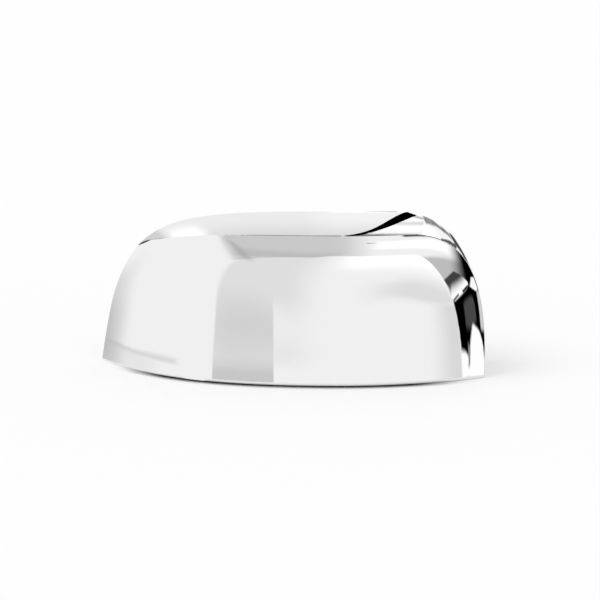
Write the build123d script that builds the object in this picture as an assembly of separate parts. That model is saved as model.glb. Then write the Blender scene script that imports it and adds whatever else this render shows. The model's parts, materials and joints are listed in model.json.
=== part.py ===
from build123d import *
import os
from math import atan2, cos, radians, sin, sqrt

# Chromed stick-on cover for the upper half of a wing mirror housing.
# It is a thin moulded shell, open at the back, where the glass is, and underneath.
# The shell is the difference of one form built twice, the second time inset by the wall.
# Strips of foam tape on its inner side hold it on the housing.
# Millimetres. The origin is on the plane of the lower rim, in the middle of the cover's box.
# +X runs along the cover to its blunt outer end, -Y is the front that meets the wind, +Z is up.

# Overall size
width = 239.0
depth = 76.0
height = 94.3
wall = 2.4

# Front skin at the lower rim: a long sweep to the pointed end, and a short one to the blunt end.
# A pull is the length of a curve's handle, in the direction that the curve has there.
nose_from_outer_end = 91.0      # from the blunt end to the point that stands furthest forward
long_sweep_nose_pull = 100.0
long_sweep_end_pull = 36.0
long_sweep_end_angle = 59.0     # to the cover's length, where the sweep meets the back rim
short_sweep_nose_pull = 46.0
short_sweep_end_pull = 12.0
short_sweep_end_angle = 64.0
short_sweep_depth = 32.0        # from the front to where the sweep has turned the corner
short_sweep_overhang = 4.5      # it runs this far past the blunt end, and the wrap trims it

# How the front skin leans in and rolls over as it rises
front_lean = 0.035              # millimetres in for each millimetre up
front_roll = 7.6                # millimetres in at full height
front_roll_power = 10
inner_end_lean = 0.155
inner_end_roll = 33.0
inner_end_roll_power = 4
inner_end_turn_angle = 41.0     # the long sweep meets the back this much squarer at full height
inner_end_turn_power = 4
outer_end_lean = 0.07
outer_end_roll = 17.0
outer_end_roll_power = 3
skin_levels = 8                 # steps between the level sections of the front skin

# Top panel, which rises to the back, falls to the pointed end and wraps round the blunt end
top_rise = 3.55                 # from the front of the cover to the back rim
top_crown = 0.5                 # height of the panel's gentle arch over its middle
crown_from_outer_end = 110.0    # where the panel starts to fall towards the pointed end
fall_from_inner_end_front = 32.5    # where that fall has left the front skin behind
fall_from_inner_end_back = 19.0
fall_drop = 25.4
fall_crown_pull = 66.0
fall_end_pull = 27.6
fall_end_angle = 53.0           # to the level
wrap_inset_front = 3.0          # of the wrap inside the blunt end, at the front
corner_length_front = 52.0
corner_height_front = 74.0
corner_fullness_ratio_front = 0.75  # 0.55 is an ellipse, 1 is a square corner
corner_length_back = 53.0
corner_height_back = 78.0
corner_fullness_ratio_back = 0.57
crease_radius = 0.6             # between the front skin and the top panel
rim_bevel = 0.5                 # along the outer edge of the lower rim and the back rim

# Swoosh, a shallow scoop in the top panel beside the blunt end, with a bevelled edge
scoop_depth_back = 2.4          # of the scoop's floor below the top panel, at the back rim
scoop_lift_front = 0.15         # of the floor above the panel at the front, where the scoop dies out
swoosh_back_from_outer_end = 49.0   # end of the bevel's upper edge at the back rim
swoosh_tail_from_outer_end = 101.0  # its pointed tail, beside the crease
swoosh_tail_depth = 7.0             # of the tail behind the front
swoosh_tail_pull = 35.0
swoosh_back_pull = 38.0
swoosh_back_angle = 64.0
swoosh_slope_angle = 19.3           # of the bevel to the top panel, degrees

# Foam tape on the inner side
tape_width = 12.0
tape_thickness = 1.1
tape_from_rim = 8.0
front_tape_from_ends = 42.0     # from either end of the cover to the strip along the front
top_tape_length = 90.0
end_tape_length = 40.0          # of the upright strips at the two ends

overrun = 6.0                   # how far a tool solid runs past the rim that trims it

x_inner = -width / 2
x_outer = width / 2
y_front = -depth / 2
y_back = depth / 2
x_nose = x_outer - nose_from_outer_end


def rolled(z, lean, roll, power):
    """Inset of a leaning wall that rolls over at the top, and its slope, at one height."""
    rise = max(z, 0.0) / height
    inset = lean * z + roll * rise**power
    slope = lean + power * roll * rise ** (power - 1) / height
    return inset, slope


def skin_section(z, thickness):
    """Level section of what lies behind the front skin, inset by a wall of some thickness."""
    front, front_slope = rolled(z, front_lean, front_roll, front_roll_power)
    inner, inner_slope = rolled(z, inner_end_lean, inner_end_roll, inner_end_roll_power)
    outer, outer_slope = rolled(z, outer_end_lean, outer_end_roll, outer_end_roll_power)
    front_wall = thickness * sqrt(1 + front_slope**2)
    inner_wall = thickness * sqrt(1 + inner_slope**2)
    outer_wall = thickness * sqrt(1 + outer_slope**2)

    turn = inner_end_turn_angle * (max(z, 0.0) / height) ** inner_end_turn_power
    long_angle = radians(long_sweep_end_angle + turn)
    long_pull = long_sweep_end_pull + 2 * overrun
    long_way = Vector(-cos(long_angle), sin(long_angle))
    long_inwards = Vector(sin(long_angle), cos(long_angle))
    short_angle = radians(short_sweep_end_angle)
    short_way = Vector(cos(short_angle), sin(short_angle))
    short_inwards = Vector(-sin(short_angle), cos(short_angle))

    nose = Vector(x_nose, y_front + front + front_wall)
    long_end = Vector(x_inner + inner, y_back) + long_way * 2 * overrun + long_inwards * inner_wall
    short_end = Vector(x_outer + short_sweep_overhang - outer, y_front + short_sweep_depth)
    short_end += short_inwards * outer_wall

    short_sweep = Bezier(
        short_end,
        short_end - short_way * short_sweep_end_pull,
        nose + Vector(short_sweep_nose_pull, 0),
        nose,
    )
    long_sweep = Bezier(
        nose, nose - Vector(long_sweep_nose_pull, 0), long_end - long_way * long_pull, long_end
    )
    y_behind = y_back + 3 * overrun
    behind = short_end + short_way * ((y_behind - short_end.Y) / sin(short_angle))
    back = Polyline(long_end, (long_end.X, y_behind), behind, short_end)
    return Plane.XY.offset(z) * make_face(short_sweep + long_sweep + back)


def behind_front_skin(thickness):
    """All that lies behind the front skin, lofted through sections that crowd towards the crease."""
    high = height + overrun / 2
    sections = [skin_section(-overrun, thickness)]
    for step in range(skin_levels + 1):
        share = 1 - (1 - step / skin_levels) ** 2
        sections.append(skin_section(high * share, thickness))
    return loft(sections)


def top_outline(y, top, fall_from, outer, length, rise, fullness):
    """Upright section under the top panel, with the corner of the wrap at the blunt end."""
    angle = radians(fall_end_angle)
    downhill = Vector(-cos(angle), -sin(angle))
    crown = Vector(x_outer - crown_from_outer_end, top)
    foot = Vector(x_inner + fall_from, top - fall_drop)
    beyond = foot + downhill * ((fall_from + overrun) / cos(angle))
    shoulder = Vector(outer - length, top)
    side = Vector(outer, top - rise)

    fall = Bezier(foot, foot - downhill * fall_end_pull, crown - Vector(fall_crown_pull, 0), crown)
    level = Line(crown, shoulder)
    corner = Bezier(
        shoulder,
        shoulder + Vector(length * fullness, 0),
        side + Vector(0, rise * fullness),
        side,
    )
    low = -2 * overrun
    rest = Polyline(side, (outer, low), (beyond.X, low), beyond, foot)
    upright = Plane((0, y, 0), x_dir=(1, 0, 0), z_dir=(0, -1, 0))
    return upright * make_face(fall + level + corner + rest)


def under_top_panel(thickness):
    """All that lies under the top panel and inside the wrap, which change from front to back."""
    rise_past_rim = top_rise * overrun / depth
    flare_past_rim = wrap_inset_front * overrun / depth
    arch_past_rim = top_crown * ((1 + 2 * overrun / depth) ** 2 - 1)
    front = (
        y_front - overrun,
        height - top_rise - rise_past_rim - arch_past_rim - thickness,
        fall_from_inner_end_front,
        x_outer - wrap_inset_front - flare_past_rim - thickness,
        corner_length_front,
        corner_height_front,
        corner_fullness_ratio_front,
    )
    back = (
        y_back + overrun,
        height + rise_past_rim - arch_past_rim - thickness,
        fall_from_inner_end_back,
        x_outer + flare_past_rim - thickness,
        corner_length_back,
        corner_height_back,
        corner_fullness_ratio_back,
    )
    middle = [(a + b) / 2 for a, b in zip(front, back)]
    middle[1] += arch_past_rim + top_crown
    return loft([top_outline(*back), top_outline(*middle), top_outline(*front)])


def cover_form(thickness):
    """The cover without its scoop, as a solid inset by a wall of some thickness."""
    return behind_front_skin(thickness) & under_top_panel(thickness)


def beyond_swoosh(plane, shift):
    """What lies beyond the swoosh in a plane beside the top panel, with the curve shifted out."""
    angle = radians(swoosh_back_angle)
    way = Vector(cos(angle), sin(angle))
    tail = Vector(x_outer - swoosh_tail_from_outer_end, swoosh_tail_depth - depth)
    back = Vector(x_outer - swoosh_back_from_outer_end + shift, 0) + way * overrun
    curve = Bezier(
        tail, tail + Vector(swoosh_tail_pull + shift, 0), back - way * swoosh_back_pull, back
    )
    x_beyond = x_outer + 4 * overrun
    rest = Polyline(back, (x_beyond, back.Y), (x_beyond, tail.Y), tail)
    return plane * make_face(curve + rest)


def scoop(thickness):
    """The scoop as a tool: all that lies above its floor and beyond the bevelled edge."""
    tilt = atan2(top_rise, depth)
    slope = radians(swoosh_slope_angle)
    panel = Plane((0, y_back, height), x_dir=(1, 0, 0), z_dir=(0, -sin(tilt), cos(tilt)))
    panel = panel.offset(-thickness / cos(slope))
    spread = overrun * cos(slope) / sin(slope)
    below = beyond_swoosh(panel.offset(-overrun), spread)
    above = beyond_swoosh(panel.offset(overrun), -spread)
    bevelled = loft([below, above], ruled=True)

    floor_back = height - scoop_depth_back - thickness
    floor_front = height - top_rise + scoop_lift_front - thickness
    floor_rise = (floor_back - floor_front) / depth
    margin = 3 * overrun
    over_floor = Polyline(
        (y_front - margin, floor_front - floor_rise * margin),
        (y_back + margin, floor_back + floor_rise * margin),
        (y_back + margin, height + margin),
        (y_front - margin, height + margin),
        close=True,
    )
    return bevelled & extrude(Plane.YZ * make_face(over_floor), width, both=True)


def crease_edges(form):
    """Edges where the front skin meets the top panel and the wrap."""
    skin = form.faces().sort_by(SortBy.AREA)[-1]
    open_edges = skin.edges().filter_by_position(Axis.Z, -overrun, -overrun)
    open_edges += skin.edges().filter_by_position(Axis.Y, y_back + overrun, y_back + overrun)
    return skin.edges() - open_edges


def rim_edges(blank):
    """Outer edges of the lower rim and the back rim."""
    low = blank.faces().sort_by(Axis.Z)[0].edges()
    back = blank.faces().sort_by(Axis.Y)[-1].edges()
    return (low - back) + (back - low)


def mirror_cover():
    """The moulded shell, trimmed along the lower rim and the back rim."""
    within_rims = Pos(0, y_back, 0) * Box(
        2 * width, 2 * depth, 2 * height, align=(Align.CENTER, Align.MAX, Align.MIN)
    )
    form = cover_form(0.0)
    creased = fillet(crease_edges(form), crease_radius) - scoop(0.0)
    blank = creased & within_rims
    outer = chamfer(rim_edges(blank), rim_bevel)
    inner = cover_form(wall) - scoop(wall)
    return outer - inner


def between(corner_a, corner_b):
    """A box between two corners."""
    size = corner_b - corner_a
    return Pos(corner_a + size / 2) * Box(*size)


def tape_strips():
    """Strips of foam tape, one tape thickness deep, on the inner side of the shell."""
    layer = cover_form(wall) - cover_form(wall + tape_thickness)
    low = tape_from_rim
    y_strip = y_back - tape_from_rim - tape_width
    y_rim = y_back - tape_from_rim
    x_mid = (x_inner + x_outer) / 2
    x_top = x_outer - crown_from_outer_end
    reaches = {
        "tape_front": (
            Vector(x_inner + front_tape_from_ends, y_front, low),
            Vector(x_outer - front_tape_from_ends, y_back, low + tape_width),
        ),
        "tape_top": (
            Vector(x_top - top_tape_length / 2, y_strip, height / 2),
            Vector(x_top + top_tape_length / 2, y_rim, height),
        ),
        "tape_inner_end": (
            Vector(x_inner, y_strip, low),
            Vector(x_mid, y_rim, low + end_tape_length),
        ),
        "tape_outer_end": (
            Vector(x_mid, y_strip, low),
            Vector(x_outer, y_rim, low + end_tape_length),
        ),
    }
    return {name: layer & between(*corners) for name, corners in reaches.items()}


nodes = {"mirror_cover": mirror_cover(), **tape_strips()}
os.makedirs("parts", exist_ok=True)
for name, solid in nodes.items():
    export_step(solid, f"parts/{name}.step")
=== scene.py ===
# %% [markdown]
# # A chromed wing mirror cover
#
# The cover is one thin moulded shell that sticks on the upper half of a car's wing mirror
# housing. Bright chrome has no colour of its own: what we see on it is the room around it. So
# this lesson spends most of its cells on the finish and on the white studio that it mirrors.
# The shell and its strips of foam tape come from the CAD model and keep their exact shapes.

# %% Load the CAD model
import json
import math

import bpy
import numpy as np
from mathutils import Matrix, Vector

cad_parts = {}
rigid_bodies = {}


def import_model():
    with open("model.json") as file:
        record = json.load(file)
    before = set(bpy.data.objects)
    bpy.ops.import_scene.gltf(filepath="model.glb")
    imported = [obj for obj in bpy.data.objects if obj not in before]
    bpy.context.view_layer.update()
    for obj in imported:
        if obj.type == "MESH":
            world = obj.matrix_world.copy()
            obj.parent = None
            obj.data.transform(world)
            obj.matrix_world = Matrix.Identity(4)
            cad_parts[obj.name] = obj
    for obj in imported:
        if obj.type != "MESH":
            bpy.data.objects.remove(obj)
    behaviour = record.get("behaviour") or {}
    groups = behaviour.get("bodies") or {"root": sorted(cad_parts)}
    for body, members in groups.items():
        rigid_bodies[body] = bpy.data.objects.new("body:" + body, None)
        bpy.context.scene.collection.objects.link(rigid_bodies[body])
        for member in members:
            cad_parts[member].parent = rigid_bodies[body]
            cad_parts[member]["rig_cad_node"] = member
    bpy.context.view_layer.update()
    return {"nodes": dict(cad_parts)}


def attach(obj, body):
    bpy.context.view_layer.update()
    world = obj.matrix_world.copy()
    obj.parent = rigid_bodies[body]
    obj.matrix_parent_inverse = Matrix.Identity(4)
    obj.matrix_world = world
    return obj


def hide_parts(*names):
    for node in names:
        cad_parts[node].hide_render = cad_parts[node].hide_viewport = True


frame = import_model()
shell = frame["nodes"]["mirror_cover"]
strips = [o for name, o in frame["nodes"].items() if name.startswith("tape_")]
bpy.ops.object.select_all(action="DESELECT")
print("tape strips", [o.name for o in strips])

# %% [markdown]
# ## The camera
#
# The photograph looks at the front of the cover from a little above, with a long lens, so that
# the two ends stay the same height. A short lens near by would swell the nose of the cover.
# The camera is aimed by its own angles, and the lens is chosen from the width that it has to see.

# %% Camera
look_down = math.radians(11.5)
camera_far = 2.2
aim = (0.0046, -0.0275, 0.0515)
seen_width = 600 * 0.000605
lens = bpy.data.cameras.new("photo_camera")
lens.sensor_width = 36.0
lens.lens = lens.sensor_width * camera_far / seen_width
camera = bpy.data.objects.new("photo_camera", lens)
bpy.context.scene.collection.objects.link(camera)
camera.location = (
    aim[0],
    aim[1] - camera_far * math.cos(look_down),
    aim[2] + camera_far * math.sin(look_down),
)
camera.rotation_euler = (math.pi / 2 - look_down, 0, 0)
bpy.context.scene.camera = camera
bpy.context.scene.view_settings.view_transform = "Standard"
print("lens", round(lens.lens, 1), "mm")

# %% [markdown]
# ## A helper for nodes
#
# Every finish below is a small tree of nodes. This helper adds one node, sets it up, and either
# links each input to another node's output or gives it a plain value.


# %% Node helper
def add_node(tree, kind, inputs=None, **settings):
    """Add a node to a tree; an input is either another node's output or a value."""
    made = tree.nodes.new(kind)
    for name, value in settings.items():
        setattr(made, name, value)
    for name, value in (inputs or {}).items():
        if isinstance(value, bpy.types.NodeSocket):
            tree.links.new(value, made.inputs[name])
        else:
            made.inputs[name].default_value = value
    return made


# %% [markdown]
# ## The studio
#
# A chromed part is photographed in a white tent with a few grey and black cards hung round it.
# The cards draw the dark lines that make the metal read as metal. They could be planes that
# stand about, but then they would throw shadows and get in the way of other views. A mirror
# only needs a direction, so the cards are painted on the world instead: each one is a patch of
# directions, given by its corners as azimuth and elevation in degrees. Azimuth 0 is towards the
# camera, and it grows to the right. What isn't chrome gets plain white light, three quarters of
# it from the world and a quarter from the lamp. Together they make a strength of about 1, at
# which a colour renders about as it is written.

# %% Directions in the world
studio = bpy.data.worlds.new("white_studio")
bpy.context.scene.world = studio
studio.use_nodes = True
sky = studio.node_tree
sky.nodes.clear()

way = add_node(sky, "ShaderNodeTexCoord").outputs["Generated"]
parts = add_node(sky, "ShaderNodeSeparateXYZ", {0: way}).outputs


def sky_math(operation, *values):
    """One step of arithmetic on directions."""
    return add_node(sky, "ShaderNodeMath", dict(enumerate(values)), operation=operation).outputs[0]


def degrees_of(angle):
    """An angle in the nodes, turned into degrees."""
    return sky_math("MULTIPLY", angle, math.degrees(1))


half_turn = 180.0
elevation = degrees_of(sky_math("ARCSINE", parts["Z"]))
towards = sky_math("MULTIPLY", parts["Y"], -1.0)
azimuth = degrees_of(sky_math("ARCTAN2", parts["X"], towards))
right_of_back = degrees_of(sky_math("ARCTAN2", parts["X"], parts["Y"]))
azimuth_behind = sky_math("SUBTRACT", half_turn, right_of_back)
ahead = add_node(sky, "ShaderNodeCombineXYZ", {0: azimuth, 1: elevation, 2: 1.0}).outputs[0]
behind = add_node(
    sky, "ShaderNodeCombineXYZ", {0: azimuth_behind, 1: elevation, 2: 1.0}
).outputs[0]
print("directions ready")


# %% [markdown]
# ### How a card hangs
#
# A card is a convex patch with a soft edge. For each of its sides, a dot product tells how far
# inside a direction lies, and a smooth step fades the card in over the side's softness. The
# product of the fades is the card's cover. A smooth step stays between 0 and 1 by itself, so its
# node needs no clamp, and without the clamps the long tree stays within what the renderer holds.


# %% Card helpers
behind_from = 85    # azimuth in degrees, from which it counts on past the back of the room


def hang_card(seen, corners, grey, soft):
    """Hang a card over what the chrome sees so far; its corners go round anticlockwise."""
    place = behind if min(a for a, e in corners) >= behind_from else ahead
    softness = soft if isinstance(soft, (list, tuple)) else [soft] * len(corners)
    cover = None
    for (a0, e0), (a1, e1), width in zip(corners, corners[1:] + corners[:1], softness):
        length = math.hypot(a1 - a0, e1 - e0)
        inwards = ((e0 - e1) / length, (a1 - a0) / length)
        edge = (*inwards, -inwards[0] * a0 - inwards[1] * e0)
        reach = add_node(sky, "ShaderNodeVectorMath", {0: place, 1: edge}, operation="DOT_PRODUCT")
        fade = add_node(
            sky,
            "ShaderNodeMapRange",
            {"Value": reach.outputs["Value"], "From Min": -width / 2, "From Max": width / 2},
            interpolation_type="SMOOTHSTEP",
            clamp=False,
        ).outputs[0]
        cover = fade if cover is None else sky_math("MULTIPLY", cover, fade)
    mixed = add_node(sky, "ShaderNodeMix", {0: cover, 2: seen, 3: grey}, data_type="FLOAT")
    return mixed.outputs[0]


def hang_cards(seen, cards):
    """Hang a set of cards, each over the one before."""
    for corners, grey, soft in cards.values():
        seen = hang_card(seen, corners, grey, soft)
    print("hung", list(cards))
    return seen


tent_white = 0.965
print("tent", tent_white)

# %% [markdown]
# ### Cards behind the cover
#
# The top panel is seen almost edge on, so it mirrors what hangs behind the cover, just above the
# level: grey cloths with a white patch. A black flag hangs higher up, and the bevel of the swoosh
# looks at it, which makes the black ribbon. The panel beside the ribbon is nearly flat, and a
# flat mirror shows very little of the room, so some of these cards are under a degree wide.

# %% Cards behind
cards_behind = {
    "dark ceiling": ([(-220, 60), (220, 60), (220, 95), (-220, 95)], 0.12, 10),
    "grey cloth behind": ([(179.7, 10), (194, 10), (194, 62), (179.7, 62)], 0.9, [3, 1.5, 8, 0.8]),
    "darker cloth behind": ([(160, 18), (187.5, 18), (187.5, 62), (160, 62)], 0.60, [9, 3, 8, 3]),
    "white patch behind": (
        [(186.5, 14.6), (193.3, 13.3), (194, 17), (189, 18.5), (186, 17.4)], 1.1, 2.6
    ),
    "dim left corner": ([(194.6, 5), (202, 5), (202, 17), (194.6, 17)], 0.68, [2, 1, 2, 3.2]),
    "dark left corner": ([(202, 7), (212.5, 7), (212.5, 17), (202, 17)], 0.06, [2, 1, 2, 2]),
    "black flag high behind": ([(85, 43), (160, 43), (150, 61), (85, 61)], 0.0, [5, 3, 6, 8]),
    "black flag behind": (
        [(150, 21), (168, 21), (168, 34), (158, 54), (126, 54), (126, 43)], 0.0, [2, 3, 3, 3, 6, 6]
    ),
    "dark cloth behind": ([(172, 24), (180.2, 24), (180.2, 64), (172, 64)], 0.05, [3, 0.5, 8, 4]),
    "white floor of the set": (
        [(177.2, 11.2), (179.3, 11.2), (179.3, 12.6), (177.2, 12.6)], 1.12, 0.3
    ),
    "white back wall": ([(168, 5.5), (169.8, 6.2), (172.4, 11.6), (173, 17), (168, 17)], 1.12, 0.8),
    "dark line on the floor": (
        [(177.6, 11.965), (179.3, 11.965), (179.3, 12.3), (177.6, 12.3)], 0.12, 0.02
    ),
    "thin grey band": (
        [(177.5, 11.77), (178.7, 11.77), (178.7, 11.822), (177.5, 11.822)], 0.7, 0.03
    ),
    "line from the tip": (
        [(178.01, 11.708), (178.19, 11.668), (178.19, 11.69), (178.01, 11.732)], 0.12, 0.014
    ),
    "lip shade": ([(170.9, 4.7), (171.8, 7.9), (171.3, 9.3), (170.3, 6.1)], 0.3, 0.4),
    "lip shade on": ([(170.3, 0.6), (170.9, 4.7), (170.3, 6.1), (169.85, 1.6)], 0.25, 0.4),
    "lip shade end": ([(170.5, -3.2), (171.1, -3.2), (170.3, 1.2), (169.8, 1.2)], 0.22, 0.4),
    "low lip shade": (
        [(170.4, -3.6), (172.2, -8.8), (173.3, -8.8), (172.3, -5.5), (171.4, -3.6)], 0.06, 0.5
    ),
    "line above": ([(168.4, 4.3), (168.88, 4.0), (169.1, 6.6), (168.6, 7.2)], 0.1, 0.2),
    "line beside": ([(168.5, 1.0), (169.15, 1.0), (168.9, 4.2), (168.4, 4.4)], 0.1, 0.2),
    "line below": ([(168.9, -1.0), (169.8, -1.85), (169.2, 1.1), (168.4, 1.1)], 0.1, 0.2),
    "line end": ([(169.9, -3.1), (170.8, -4.35), (169.8, -1.8), (168.9, -1.0)], 0.1, 0.2),
}
seen = hang_cards(tent_white, cards_behind)

# %% [markdown]
# ### Cards over the camera
#
# Under the crease the skin rolls over and looks up past the camera. There it finds a grey cloth,
# and to the right of it a bright window with a dark gap above.

# %% Cards over the camera
cards_over_camera = {
    "grey cloth over the camera": (
        [(-34.6, 2), (8, 2), (8, 64), (-64.4, 64)], 0.645, [3, 20, 8, 9]
    ),
    "smudge": ([(11.5, 32.6), (16, 31.2), (16.5, 33.2), (12, 34.6)], 0.35, 1),
    "bright window": (
        [(15, 20.5), (28, 16), (37, 13.3), (47, 10.8), (64, 8.6),
         (66, 14), (56, 19), (37, 27), (15, 36)],
        1.12,
        [4, 4, 4, 4, 6, 5, 5, 5, 10],
    ),
    "dark gap over the window": (
        [(46, 25.5), (92, 20), (92, 62), (30, 62), (30, 36)], 0.05, 3
    ),
}
seen = hang_cards(seen, cards_over_camera)

# %% [markdown]
# ### Cards on the left
#
# The pointed end looks to the left, at a white wall with a low shade on it, a thin line like a
# skirting board, and a darker wall further round.

# %% Cards on the left
cards_left = {
    "low shade on the left": (
        [(-125, -16), (-84, -16), (-84, -6.3), (-117, -4.2)], 0.87, [1, 24, 0.5, 3]
    ),
    "skirting": ([(-117, -4.4), (-89, -6.0), (-89, -5.75), (-117, -4.1)], 0.76, 0.25),
    "skirting on": (
        [(-89, -6.0), (-67, -7.55), (-67, -7.2), (-89, -5.75)], 0.76, [0.3, 8, 0.3, 0.25]
    ),
    "far left wall": (
        [(-108, -7.25), (-128, 7.75), (-160, 7.75), (-160, -7.25)], 0.55, [10, 8, 6, 6]
    ),
}
seen = hang_cards(seen, cards_left)

# %% [markdown]
# ### Cards on the right
#
# The blunt end turns away fast, so a wide part of the room is squeezed into a narrow strip of
# chrome. A black doorway there, with small bright and dark things in it, makes the strip sparkle.

# %% Cards on the right
cards_right = {
    "grey wall": (
        [(38, -16), (100, -16), (100, 9.5), (60, 7.2), (38, 6.6)], 0.56, [2, 6, 4, 4, 3]
    ),
    "doorway": ([(46.8, -16), (110, -16), (110, 24), (84.2, 24)], 0.0, [4, 4, 4, 12]),
    "door frame": (
        [(50.5, -1.4), (53, -2.5), (70, 2.3), (70, 3), (60.5, 2.7)], 0.055, [0.6, 2, 0.6, 0.6, 0.5]
    ),
    "dark table": (
        [(54, -8.6), (60, -8.6), (75.5, -5.6), (80, -2), (81, 1), (72, 1.2), (53.3, -4)], 0.0, 0.6
    ),
    "lit patch": (
        [(59.3, -6.4), (66, -6), (71.5, -4.6), (73, -2.2), (72.5, -0.6), (66, -1.6), (60.5, -3.4)],
        0.07,
        1.2,
    ),
    "pale edge": ([(76.6, -5.6), (100, -5.6), (100, 1.5), (82.5, 1.5)], 0.68, [1, 1, 1, 1.2]),
    "white strip": (
        [(52.5, -3.7), (54, -4), (61, -1.9), (71, 1.3), (72, 2.2), (69, 2.65), (53.8, -2.35)],
        1.1,
        [0.5, 0.5, 0.5, 0.5, 0.5, 2.4, 0.5],
    ),
    "thin bar": ([(53.7, -4.05), (58.6, -2.35), (58.6, -2.05), (53.7, -3.75)], 0.03, 0.25),
    "thin bar on": ([(62.6, -1.35), (70.5, 1.0), (70.5, 1.5), (62.6, -0.9)], 0.03, 0.25),
    "white ground": (
        [(58, -16), (80, -16), (77, -7), (73, -5.9), (66, -5.5), (61, -7.7), (58, -10.5)], 1.1, 0.7
    ),
    "white ground on": ([(53.5, -16), (66, -16), (61, -8.9), (57.4, -8.25), (54, -8.3)], 1.1, 0.5),
    "stain": ([(58.6, -9.2), (59.8, -9.2), (61, -8.0), (59.4, -7.6)], 0.3, 0.5),
    "black spot": ([(57.3, -10.5), (60.2, -10.5), (60.2, -10), (57.3, -10)], 0.0, 0.3),
    "white gap": ([(73, 1.4), (82, 1.2), (87, 2), (86, 4.7), (80, 4.3)], 1.05, 0.6),
}
seen = hang_cards(seen, cards_right)

# %% [markdown]
# ### Cards round the camera
#
# The broad front skin looks straight back, at a large pale card with a grey hem and, left of the
# middle, at a grey shade beside the camera.

# %% Cards round the camera
cards_front = {
    "pale front card": (
        [(-36, -16), (55, -16), (54.5, -9), (53, -4), (50.5, -1), (45, 3), (38, 8), (12, 12),
         (0, 13.3), (-34, 2)],
        0.97,
        [1, 0.8, 0.8, 0.8, 0.8, 0.8, 0.8, 0.8, 2.5, 6],
    ),
    "bright upper part": (
        [(2, 1), (50.5, -1), (45, 3), (38, 8), (12, 12), (2, 13.1)], 1.12, [6, 0.8, 0.8, 0.8, 0.8, 14]
    ),
    "haze": (
        [(16, -7.0), (30, -6.8), (41, -6.2), (47, -5.5), (53, -4.4), (50, -2.4), (38, -3), (16, -5.0)],
        0.8,
        [1.2, 1.2, 1.2, 1, 0.8, 4, 4.5, 30],
    ),
    "grey margin": ([(44, -16), (54.8, -16), (53.2, -4.5), (44, -5.8)], 0.76, [1, 0.8, 0.8, 14]),
    "shade beside the camera": ([(-44.5, -8), (-8, -8), (-1, 13), (-34, 2)], 0.81, [2, 12, 2, 3]),
    "hem": (
        [(-34, 1.7), (-19, 4.5), (-9, 7.5), (-4, 11.3), (3, 12.4), (3, 17), (-34, 17)],
        0.56,
        [1, 1, 1, 1, 10, 10, 8],
    ),
    "dark corner of the hem": ([(-29, 4), (-25, 4), (-35, 24), (-41, 28)], 0.48, 5),
    "camera stand": (
        [(-44.5, -16), (-17.4, -16), (-17.7, -8), (-44.5, -8)], 0.63, [1, 0.6, 2.5, 0.8]
    ),
}
seen = hang_cards(seen, cards_front)

# %% [markdown]
# ### Low down
#
# Nothing in the main view looks further down than the cards so far. From other sides the skin
# does, and there it finds a grey studio floor that ends in a dark horizon.

# %% Cards low down
cards_low_down = {
    "studio floor": ([(-220, -95), (220, -95), (220, -28), (-220, -28)], 0.6, [9, 9, 24, 9]),
    "dark horizon": ([(-220, -27), (220, -27), (220, -19.5), (-220, -19.5)], 0.3, [9, 9, 6, 9]),
}
seen = hang_cards(seen, cards_low_down)

# %% [markdown]
# ### What the world shows to whom
#
# Only glossy rays see the cards, so they show in the chrome and in the sheen of the tape's film.
# The camera sees a white backdrop, and all other light from the world is plain white.

# %% World output
rays = add_node(sky, "ShaderNodeLightPath").outputs
world_share = 0.75
other_rays = add_node(
    sky, "ShaderNodeMix", {0: rays["Is Camera Ray"], 2: world_share, 3: 1.0}, data_type="FLOAT"
).outputs[0]
level = add_node(
    sky, "ShaderNodeMix", {0: rays["Is Glossy Ray"], 2: other_rays, 3: seen}, data_type="FLOAT"
).outputs[0]
backdrop = add_node(sky, "ShaderNodeBackground", {"Strength": level})
backdrop.inputs["Color"].default_value = (1, 1, 1, 1)
add_node(sky, "ShaderNodeOutputWorld", {"Surface": backdrop.outputs[0]})
print("world nodes", len(sky.nodes))

# %% [markdown]
# ## The floor and the lamp
#
# The cover stands on its lower rim on white paper. The floor is a wide plane, so that its far
# edge never shows. Half of its white is its own light, for the camera alone, which keeps the
# paper white and the shadow light. Close to the rim a contact shadow is painted into the paper's
# colour: an Ambient Occlusion node measures how much of the space near by is blocked, and the
# paper is painted darker over the last few millimetres. The painted dark line fades towards both
# ends of the cover by its distance from the middle, as it does in the photograph.
# Chrome that looks down sees the paper only in that narrow gap, and further out it looks through
# the paper at the cards. One large soft lamp from the left adds a faint shadow on the right.

# %% Floor
floor_size = 40.0
bpy.ops.mesh.primitive_plane_add(size=floor_size, location=(0, 0, 0))
floor = bpy.context.object
floor.name = "paper_floor"
bpy.ops.object.select_all(action="DESELECT")

paper = bpy.data.materials.new("white_paper")
paper.use_nodes = True
sheet = paper.node_tree
sheet.nodes.clear()
contact_reach = 0.012
painted_shadow_ends = (0.075, 0.115)   # from the middle: the painted dark line starts to fade, and is gone
blocked, unblocked = 0.58, 0.9  # open share of the space near by
# tones of the painted contact shadow, from its darkest up to paper white
painted_shadow_darkest, whitest = 0.02, 0.99
seen_by = add_node(sheet, "ShaderNodeLightPath").outputs
# painted contact shadow: where ambient occlusion finds the space near the rim blocked, the paper's
# colour is painted darker
nearby = add_node(sheet, "ShaderNodeAmbientOcclusion", {"Distance": contact_reach}, samples=8)
painted_contact_shade = add_node(
    sheet,
    "ShaderNodeMapRange",
    {
        "Value": nearby.outputs["AO"],
        "From Min": blocked,
        "From Max": unblocked,
        "To Min": painted_shadow_darkest,
        "To Max": whitest,
    },
    interpolation_type="SMOOTHSTEP",
).outputs[0]
paper_spot = add_node(sheet, "ShaderNodeTexCoord").outputs["Object"]
out_from_middle = add_node(sheet, "ShaderNodeVectorMath", {0: paper_spot}, operation="LENGTH")
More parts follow.
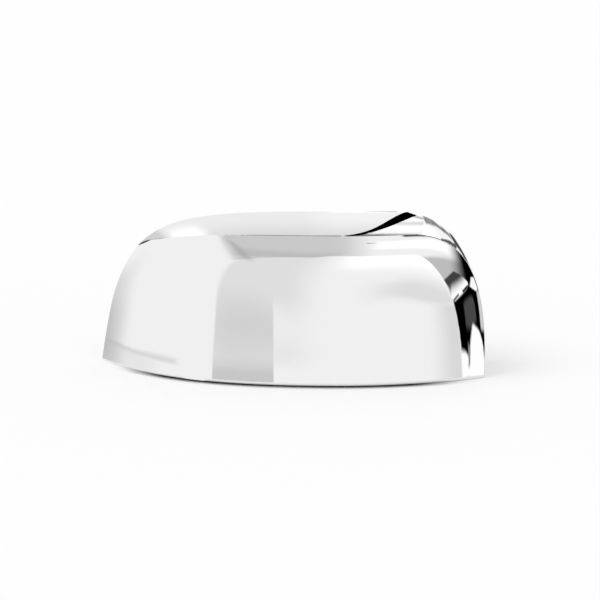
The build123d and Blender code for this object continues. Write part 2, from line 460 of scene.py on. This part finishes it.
# the painted shadow fades out by distance from the middle of the floor, not by any light
painted_shadow_fade_at_ends = add_node(
    sheet,
    "ShaderNodeMapRange",
    {
        "Value": out_from_middle.outputs["Value"],
        "From Min": painted_shadow_ends[0],
        "From Max": painted_shadow_ends[1],
        "To Max": whitest,
    },
    interpolation_type="SMOOTHSTEP",
).outputs[0]
# the paper's colour with the painted contact shadow in it, used by both its lit and its glowing share
paper_with_painted_shadow = add_node(
    sheet, "ShaderNodeMath", {0: painted_contact_shade, 1: painted_shadow_fade_at_ends}, operation="MAXIMUM"
).outputs[0]
lit = add_node(sheet, "ShaderNodeBsdfDiffuse", {"Color": paper_with_painted_shadow})
glow = add_node(sheet, "ShaderNodeEmission", {"Color": paper_with_painted_shadow, "Strength": 1.0})
own_light = 0.5
share = add_node(
    sheet, "ShaderNodeMath", {0: seen_by["Is Camera Ray"], 1: own_light}, operation="MULTIPLY"
)
paper_mix = add_node(
    sheet, "ShaderNodeMixShader", {0: share.outputs[0], 1: lit.outputs[0], 2: glow.outputs[0]}
)
clear = add_node(sheet, "ShaderNodeBsdfTransparent")
far_off = add_node(
    sheet, "ShaderNodeMath", {0: seen_by["Ray Length"], 1: contact_reach}, operation="GREATER_THAN"
).outputs[0]
see_through = add_node(
    sheet, "ShaderNodeMath", {0: far_off, 1: seen_by["Is Glossy Ray"]}, operation="MULTIPLY"
)
paper_or_studio = add_node(
    sheet,
    "ShaderNodeMixShader",
    {0: see_through.outputs[0], 1: paper_mix.outputs[0], 2: clear.outputs[0]},
)
add_node(sheet, "ShaderNodeOutputMaterial", {"Surface": paper_or_studio.outputs[0]})
floor.data.materials.append(paper)
print("floor", floor.name)

# %% Lamp
lamp_share = 0.25
lamp_up = math.radians(52)
lamp_round = math.radians(-62)
soft_sun = bpy.data.lights.new("soft_lamp", "SUN")
soft_sun.energy = lamp_share * math.pi / math.sin(lamp_up)
lamp_spread = math.radians(40)
soft_sun.angle = lamp_spread
lamp = bpy.data.objects.new("soft_lamp", soft_sun)
bpy.context.scene.collection.objects.link(lamp)
lamp.rotation_euler = (math.pi / 2 - lamp_up, 0, lamp_round)
lamp.visible_glossy = False
print("lamp", round(soft_sun.energy, 2))

# %% [markdown]
# ## The shell, with true normals
#
# A mirror shows every flaw in a surface's normals. The CAD shell's points lie exactly on its
# smooth surface, but its normals are averages over long thin triangles, and they wander by a
# degree. That is enough to make the chrome look cloudy. More triangles would need the CAD
# model, and a smoothing modifier would move the points. So a copy of the shell gets new
# normals: its triangles are sorted into patches, split where the surface turns a corner or
# bends tightly, and at each point of a wide patch a cubic surface is fitted through the points
# near by. The fit's tilt at the point is the normal. Flat faces keep their own normal, and the
# narrow bends between the patches get the average of their neighbours.


# %% A merged copy of a CAD node
merge_within = 0.000001


def merged_copy(node, name):
    """A copy of a CAD node that rides with it, its loose triangles joined into one skin."""
    bpy.ops.object.select_all(action="DESELECT")
    node.select_set(True)
    bpy.context.view_layer.objects.active = node
    bpy.ops.object.duplicate()
    piece = bpy.context.object
    piece.name = name
    piece.data.name = name
    del piece["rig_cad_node"]
    bpy.ops.object.mode_set(mode="EDIT")
    bpy.ops.mesh.select_all(action="SELECT")
    bpy.ops.mesh.customdata_custom_splitnormals_clear()
    bpy.ops.mesh.remove_doubles(threshold=merge_within)
    bpy.ops.object.mode_set(mode="OBJECT")
    bpy.ops.object.select_all(action="DESELECT")
    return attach(piece, "root")


chromed_shell = merged_copy(shell, "chromed_shell")
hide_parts("mirror_cover")
skin = chromed_shell.data
points = np.array([v.co for v in skin.vertices])
faces = np.array([list(p.vertices) for p in skin.polygons])
flats = np.array([p.normal for p in skin.polygons])
areas = np.array([p.area for p in skin.polygons])
print("shell", len(points), "points", len(faces), "triangles")


# %% Patches
def patches_of(sharpest_turn, tightest_bend, kind):
    """Number the patches of the shell, split at corners, tight bends and changes of kind."""
    above = list(range(len(faces)))

    def top(face):
        while above[face] != face:
            face = above[face]
        return face

    first_beside = {}
    for face, corners in enumerate(faces):
        for a, b in zip(corners, np.roll(corners, -1)):
            other = first_beside.setdefault((min(a, b), max(a, b)), face)
            turn = math.acos(min(1.0, flats[face] @ flats[other]))
            step = min(areas[face], areas[other]) / np.linalg.norm(points[a] - points[b])
            smooth = turn < sharpest_turn and turn * tightest_bend < step
            if smooth and kind[face] == kind[other]:
                above[top(face)] = top(other)
    return np.array([top(face) for face in range(len(faces))])


least_in_plane = 6
least_flat_area = 0.00005
least_wide_area = 0.001
plane = patches_of(sharpest_turn=0.0006, tightest_bend=0.0, kind=np.zeros(len(faces)))
in_plane = np.bincount(plane, minlength=len(faces))
plane_area = np.bincount(plane, weights=areas, minlength=len(faces))
is_flat = (in_plane[plane] >= least_in_plane) & (plane_area[plane] > least_flat_area)
patch = patches_of(sharpest_turn=0.2, tightest_bend=0.004, kind=np.where(is_flat, plane, -1))
patch_area = np.bincount(patch, weights=areas, minlength=len(faces))
is_wide = (patch_area[patch] > least_wide_area) & ~is_flat
wide_patches = np.unique(patch[is_wide])
print("flat triangles", is_flat.sum())
print("wide patches", len(wide_patches), "of", len(np.unique(patch)))


# %% Fitted normals
any_slant = (0.36, 0.48, 0.8)
fall_off = 3


def fitted_normal(point, guess, near, reach):
    """Normal at a point, from a cubic surface through the points near it."""
    across = np.cross(guess, any_slant)
    across /= np.linalg.norm(across)
    along = np.cross(guess, across)
    offset = (near - point) / reach
    x, y, z = offset @ across, offset @ along, offset @ guess
    powers = [(i, j) for i in range(4) for j in range(4 - i)]
    terms = np.stack([x**i * y**j for i, j in powers], 1)
    weight = np.exp(-fall_off * (offset**2).sum(1))
    fit = np.linalg.lstsq(terms * weight[:, None], z * weight, rcond=1e-6)[0]
    normal = guess - fit[powers.index((1, 0))] * across - fit[powers.index((0, 1))] * along
    return normal / np.linalg.norm(normal)


least_reach = 0.009
least_points = 26
fitted = [[] for _ in points]
for wide in wide_patches:
    members = np.where(patch == wide)[0]
    guesses = np.zeros_like(points)
    for k in range(3):
        np.add.at(guesses, faces[members, k], flats[members] * areas[members, None])
    inside = np.unique(faces[members])
    cloud = points[inside]
    for v in inside:
        far = np.linalg.norm(cloud - points[v], axis=1)
        reach = max(least_reach, np.sort(far)[min(least_points, len(far) - 1)])
        guess = guesses[v] / np.linalg.norm(guesses[v])
        fitted[v].append(fitted_normal(points[v], guess, cloud[far < reach], reach))
print("fitted normals", sum(len(f) for f in fitted))

# %% Give the copy its normals
near_flat = math.cos(math.radians(9))
same_side = math.cos(math.radians(30))
around = [[] for _ in points]
for face, corners in enumerate(faces):
    for v in corners:
        around[v].append(face)

corner_normals = []
averaged = 0
for face, corners in enumerate(faces):
    for v in corners:
        best = flats[face]
        if is_wide[face]:
            best = max(fitted[v], key=lambda n: n @ flats[face])
        if best @ flats[face] < near_flat or not (is_wide[face] or is_flat[face]):
            averaged += 1
            mates = [f for f in around[v] if flats[f] @ flats[face] > same_side and not is_flat[f]]
            mates = [f for f in mates if is_wide[f] == is_wide[face]]
            best = sum(flats[f] * areas[f] for f in mates)
        corner_normals.append(best / np.linalg.norm(best))
print("corners", len(corner_normals), "averaged", averaged)
bpy.context.view_layer.objects.active = chromed_shell
chromed_shell.select_set(True)
bpy.ops.object.shade_smooth()
bpy.ops.object.select_all(action="DESELECT")
skin.normals_split_custom_set(corner_normals)

# %% [markdown]
# ## Chrome plating
#
# The shell is moulded in ABS and then plated with copper, nickel and a thin bright chrome. The
# outer side is polished like a mirror. The inner side is plated too, but over a mould that
# nobody polished, so it is a dull satin. One material carries both: a point belongs to the
# outer side when its normal points away from the middle of the hollow. Polish is never quite
# even, so fine noise moves the roughness a little.

# %% Chrome
chrome = bpy.data.materials.new("bright_chrome")
chrome.use_nodes = True
plating = chrome.node_tree
plating.nodes.clear()

hollow_middle = (0.0, 0.020, 0.020)
mirror_roughness = (0.004, 0.02)
satin_roughness = (0.28, 0.42)
mirror_tone = (0.9, 0.9, 0.9, 1)
satin_tone = (0.56, 0.56, 0.57, 1)
satin_depth = 0.00004
here = add_node(plating, "ShaderNodeTexCoord").outputs
from_middle = add_node(
    plating, "ShaderNodeVectorMath", {0: here["Object"], 1: hollow_middle}, operation="SUBTRACT"
)
facing_out = add_node(
    plating,
    "ShaderNodeVectorMath",
    {0: from_middle.outputs[0], 1: here["Normal"]},
    operation="DOT_PRODUCT",
)
inner_side = add_node(
    plating, "ShaderNodeMath", {0: facing_out.outputs["Value"], 1: 0.0}, operation="LESS_THAN"
).outputs[0]
haze = add_node(
    plating,
    "ShaderNodeTexNoise",
    {"Vector": here["Object"], "Scale": 60.0, "Detail": 6.0, "Roughness": 0.6},
).outputs["Fac"]
polish = add_node(
    plating,
    "ShaderNodeMapRange",
    {"Value": haze, "To Min": mirror_roughness[0], "To Max": mirror_roughness[1]},
).outputs[0]
grain = add_node(
    plating,
    "ShaderNodeTexNoise",
    {"Vector": here["Object"], "Scale": 900.0, "Detail": 4.0, "Roughness": 0.6},
).outputs["Fac"]
satin = add_node(
    plating,
    "ShaderNodeMapRange",
    {"Value": grain, "To Min": satin_roughness[0], "To Max": satin_roughness[1]},
).outputs[0]
finish = add_node(
    plating, "ShaderNodeMix", {0: inner_side, 2: polish, 3: satin}, data_type="FLOAT"
)
tone = add_node(
    plating, "ShaderNodeMix", {0: inner_side, 6: mirror_tone, 7: satin_tone}, data_type="RGBA"
)
grain_bump = add_node(
    plating,
    "ShaderNodeBump",
    {"Height": grain, "Strength": inner_side, "Distance": satin_depth},
)
metal = add_node(
    plating,
    "ShaderNodeBsdfPrincipled",
    {
        "Base Color": tone.outputs[2],
        "Metallic": 1.0,
        "Roughness": finish.outputs[0],
        "Normal": grain_bump.outputs[0],
    },
)
add_node(plating, "ShaderNodeOutputMaterial", {"Surface": metal.outputs[0]})
chromed_shell.data.materials.clear()
chromed_shell.data.materials.append(chrome)
print("chrome nodes", len(plating.nodes))

# %% [markdown]
# ## Foam tape
#
# Strips of soft black foam, sticky on both faces, hold the cover on the housing. The foam is
# full of tiny closed cells, which show as a fine grain on its cut sides. The strips keep their
# CAD shapes and get only this material: a Voronoi texture is a field of round cells, and the
# same field gives both the tone and the bumps.

# %% Foam
foam = bpy.data.materials.new("tape_foam")
foam.use_nodes = True
cells = foam.node_tree
cells.nodes.clear()
cell_dark = (0.028, 0.028, 0.03, 1)
cell_light = (0.055, 0.055, 0.058, 1)
cell_depth = 0.0001
spot = add_node(cells, "ShaderNodeTexCoord").outputs["Object"]
bubbles = add_node(cells, "ShaderNodeTexVoronoi", {"Vector": spot, "Scale": 2600.0})
foam_tone = add_node(
    cells,
    "ShaderNodeMix",
    {0: bubbles.outputs["Distance"], 6: cell_dark, 7: cell_light},
    data_type="RGBA",
)
foam_bump = add_node(
    cells,
    "ShaderNodeBump",
    {"Height": bubbles.outputs["Distance"], "Strength": 0.6, "Distance": cell_depth},
)
rubber = add_node(
    cells,
    "ShaderNodeBsdfPrincipled",
    {"Base Color": foam_tone.outputs[2], "Roughness": 0.85, "Normal": foam_bump.outputs[0]},
)
add_node(cells, "ShaderNodeOutputMaterial", {"Surface": rubber.outputs[0]})
for strip in strips:
    strip.data.materials.clear()
    strip.data.materials.append(foam)
print("foam on", len(strips), "strips")

# %% [markdown]
# ## Liner film
#
# Until the cover is fitted, a thin red film keeps the tape's free face clean. It has the shape
# of that face, so it is made from it: a copy of each strip loses all its faces but those that
# look into the hollow, and a Solidify modifier gives what is left the thickness of the film.

# %% Film shapes
film_thickness = 0.00015
into_hollow = 0.3   # least cosine between a face that stays and the way to the hollow's middle
soft_edge = math.radians(30)
films = []
for strip in strips:
    film = merged_copy(strip, strip.name.replace("tape", "liner"))
    bpy.context.view_layer.objects.active = film
    film.select_set(True)
    bpy.ops.object.mode_set(mode="EDIT")
    bpy.ops.mesh.select_mode(type="FACE")
    bpy.ops.mesh.select_all(action="DESELECT")
    bpy.ops.object.mode_set(mode="OBJECT")
    for face in film.data.polygons:
        to_middle = (Vector(hollow_middle) - face.center).normalized()
        face.select = face.normal.dot(to_middle) < into_hollow
    bpy.ops.object.mode_set(mode="EDIT")
    bpy.ops.mesh.delete(type="FACE")
    bpy.ops.object.mode_set(mode="OBJECT")
    thicken = film.modifiers.new("film", "SOLIDIFY")
    thicken.thickness = film_thickness
    thicken.offset = 1.0
    bpy.ops.object.modifier_apply(modifier=thicken.name)
    bpy.ops.object.shade_smooth_by_angle(angle=soft_edge)
    bpy.ops.object.select_all(action="DESELECT")
    films.append(film)
print("films", [(f.name, len(f.data.polygons)) for f in films])

# %% Film finish
red_film = bpy.data.materials.new("red_liner")
red_film.use_nodes = True
film_tree = red_film.node_tree
film_tree.nodes.clear()
film_dark = (0.42, 0.012, 0.012, 1)
film_light = (0.56, 0.022, 0.02, 1)
film_roughness = (0.24, 0.4)
film_spot = add_node(film_tree, "ShaderNodeTexCoord").outputs["Object"]
ripple = add_node(
    film_tree, "ShaderNodeTexNoise", {"Vector": film_spot, "Scale": 220.0, "Detail": 3.0}
).outputs["Fac"]
film_tone = add_node(
    film_tree, "ShaderNodeMix", {0: ripple, 6: film_dark, 7: film_light}, data_type="RGBA"
)
film_gloss = add_node(
    film_tree,
    "ShaderNodeMapRange",
    {"Value": ripple, "To Min": film_roughness[0], "To Max": film_roughness[1]},
)
film_bump = add_node(
    film_tree, "ShaderNodeBump", {"Height": ripple, "Strength": 0.4, "Distance": 0.0002}
)
film_skin = add_node(
    film_tree,
    "ShaderNodeBsdfPrincipled",
    {
        "Base Color": film_tone.outputs[2],
        "Roughness": film_gloss.outputs[0],
        "Normal": film_bump.outputs[0],
    },
)
add_node(film_tree, "ShaderNodeOutputMaterial", {"Surface": film_skin.outputs[0]})
for film in films:
    film.data.materials.clear()
    film.data.materials.append(red_film)
print("film on", len(films), "strips")
